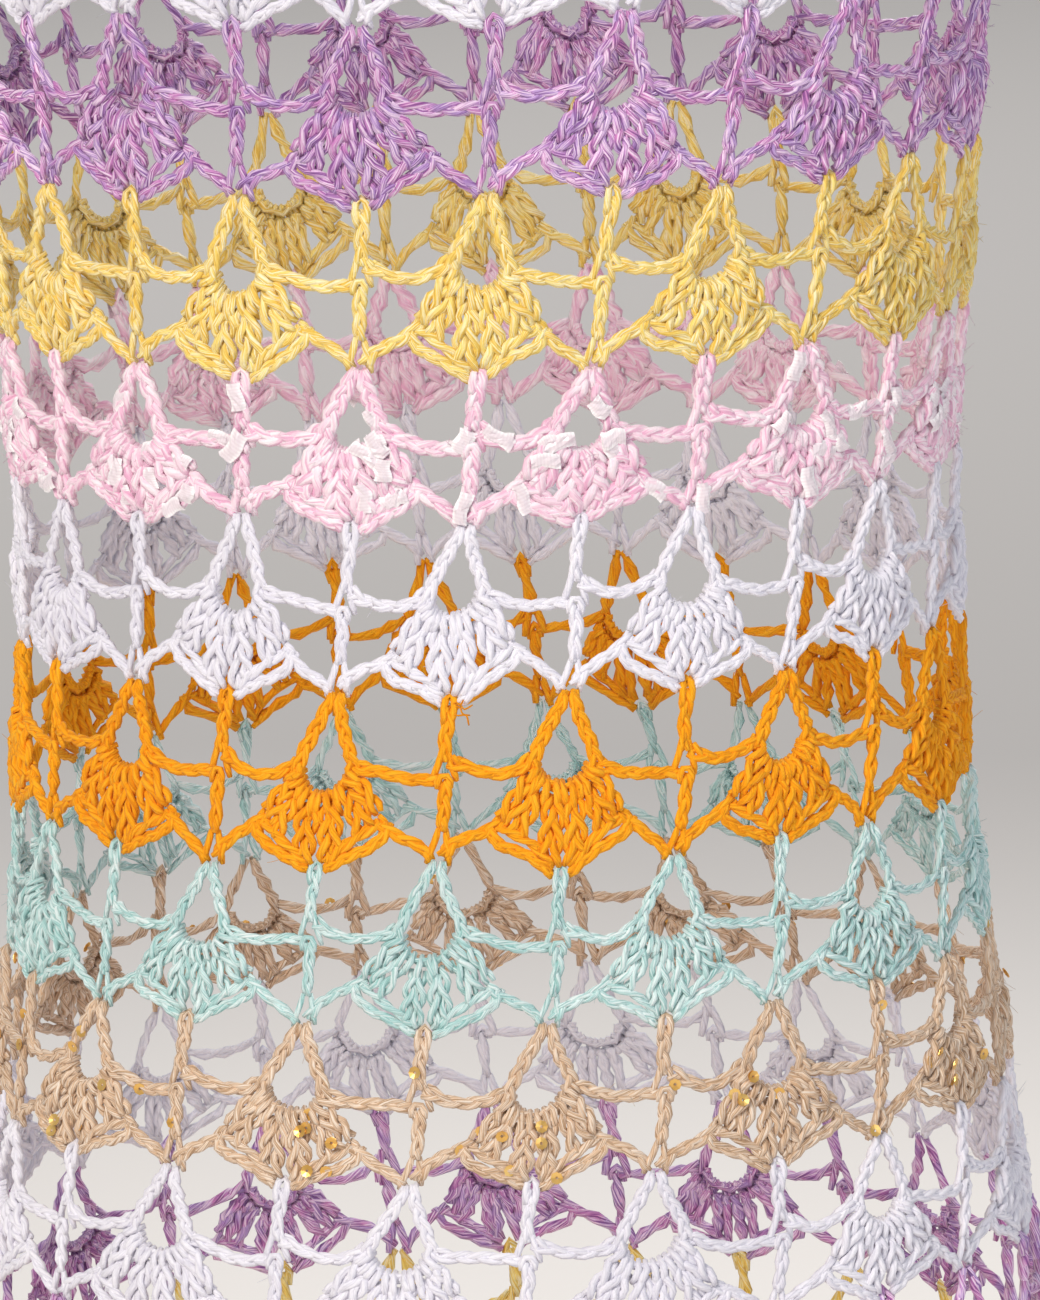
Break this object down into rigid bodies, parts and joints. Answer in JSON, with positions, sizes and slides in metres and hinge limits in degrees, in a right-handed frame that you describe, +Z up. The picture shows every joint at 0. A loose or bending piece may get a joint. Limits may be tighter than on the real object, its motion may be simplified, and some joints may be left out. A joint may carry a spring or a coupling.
{
  "type": "crochet maxi dress",
  "caption": "Worn, hollow maxi dress of openwork fan-stitch crochet in striped bands, with two shoulder straps and a scalloped hem.",
  "frame": {"origin": "midway between the two shoulder straps, level with their undersides, where the shoulders carry the dress", "axes": "+Z up along the body, -Y towards the front, +X towards the wearer's left"},
  "size_m": [0.3505, 0.2759, 1.2584],
  "materials": {
    "striped_crochet": "matte cotton yarn in bands of white, lilac, yellow, pink, white, orange, mint and sand",
    "strap_crochet": "matte white cotton yarn"
  },
  "bodies": {
    "root": {"lace_front": "striped_crochet", "lace_back": "striped_crochet", "strap_left": "strap_crochet", "strap_right": "strap_crochet"}
  },
  "joints": []
}
